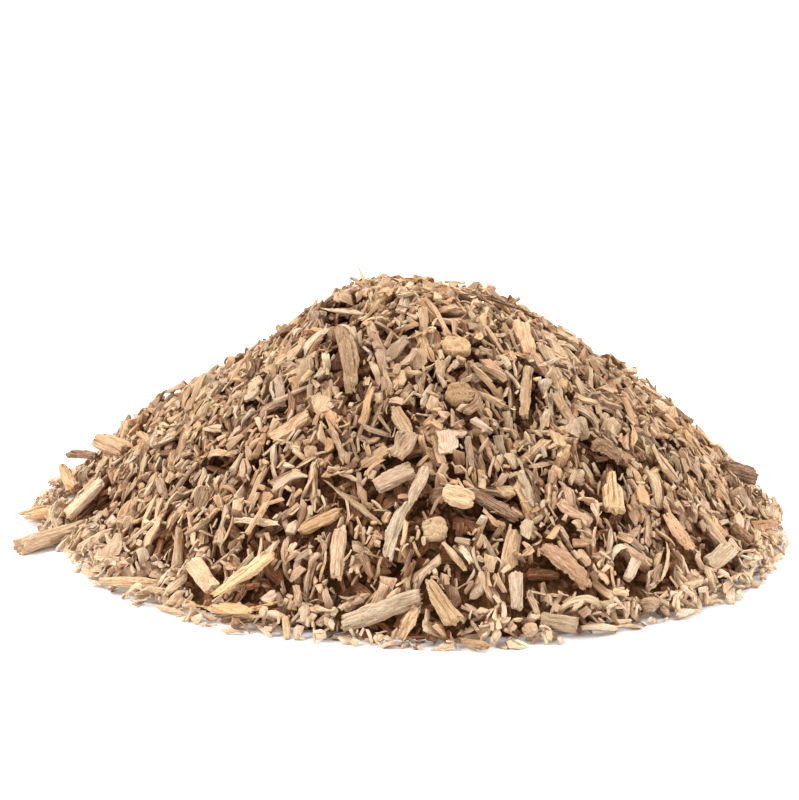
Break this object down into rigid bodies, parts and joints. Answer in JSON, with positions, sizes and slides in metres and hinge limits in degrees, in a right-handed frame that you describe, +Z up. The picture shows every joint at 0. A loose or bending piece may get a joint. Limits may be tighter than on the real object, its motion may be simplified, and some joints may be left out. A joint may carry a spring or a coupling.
{
  "type": "kava root",
  "caption": "Loose heap of dried, chopped and sifted kava root: split sticks, flakes, shavings, slices and bits of bark on a round mound.",
  "frame": {"origin": "middle of the heap's box, on the underside", "axes": "+Z up, +X to the right as the picture shows the heap, +Y away from the viewer"},
  "size_m": [0.2392, 0.2244, 0.0816],
  "materials": {
    "pale_split_wood": "dry split root wood, cream, matt, fine lengthwise fibres",
    "tan_split_wood": "dry split root wood, tan, matt, lengthwise fibres",
    "pinkish_split_wood": "dry split root wood, pinkish tan, matt, lengthwise fibres",
    "yellow_inner_wood": "dry inner root wood, straw yellow, matt, smooth split face",
    "grey_brown_root": "dry cross-cut root, grey brown, matt, cracked from the pith",
    "brown_bark": "dry root bark, brown, matt, ridged along its length"
  },
  "bodies": {
    "root": {"chip_heap": "tan_split_wood", "round_root_left": "tan_split_wood", "root_stub_right_foot": "tan_split_wood", "frayed_root_end_left": "tan_split_wood", "frayed_strip_right_foot": "pinkish_split_wood", "split_stick_left": "pale_split_wood", "split_stick_left_small": "pale_split_wood", "rim_sliver_left": "tan_split_wood", "bowed_rim_strip": "yellow_inner_wood", "frayed_chip_front": "tan_split_wood", "rim_stick_front": "pale_split_wood", "ridged_stick_front": "tan_split_wood", "forked_chip_front": "pale_split_wood", "ridged_flake_front": "tan_split_wood", "leaf_chip_front_foot": "tan_split_wood", "root_nub_front_foot": "pale_split_wood", "root_nub_right_foot": "grey_brown_root", "bark_flake_left": "brown_bark", "cut_block_left": "tan_split_wood", "wedge_chip_left": "pale_split_wood", "slanting_flake_left": "tan_split_wood", "thin_splinter_left": "tan_split_wood", "pale_chip_left": "pale_split_wood", "cut_block_front_left": "pale_split_wood", "long_yellow_stick": "yellow_inner_wood", "curled_shaving_left": "pale_split_wood", "flat_stick_upper_left": "tan_split_wood", "cross_chip_level": "pale_split_wood", "cross_chip_upright": "pale_split_wood", "upright_stick_front": "tan_split_wood", "yellow_leaf_flake": "yellow_inner_wood", "long_splinter_front": "tan_split_wood", "cut_block_middle": "pinkish_split_wood", "root_slice_middle": "pale_split_wood", "upright_stick_middle": "pale_split_wood", "short_stick_middle": "pale_split_wood", "bark_blade_right": "brown_bark", "oval_slab_middle": "pale_split_wood", "blade_chip_middle": "pale_split_wood", "grey_plate_middle": "grey_brown_root", "pale_blade_upper": "pale_split_wood", "grey_slice_upper": "tan_split_wood", "oval_slice_top": "yellow_inner_wood", "curved_blade_upper_left": "tan_split_wood", "flat_strip_top_left": "pale_split_wood", "pink_flake_top_right": "pinkish_split_wood", "bark_strip_top_right": "brown_bark", "upright_stick_right": "tan_split_wood", "big_curl_right": "brown_bark", "bottle_shaped_chip": "pale_split_wood", "dark_root_chunk_right": "brown_bark", "brown_chip_right": "brown_bark", "flat_chip_right_foot": "tan_split_wood", "short_stick_right": "tan_split_wood", "fibrous_bundle_right": "tan_split_wood", "bent_fibre_right": "tan_split_wood", "curled_slab_right": "pinkish_split_wood", "peg_right": "pale_split_wood", "short_peg_right": "pale_split_wood", "standing_twig_top": "tan_split_wood"}
  },
  "joints": []
}
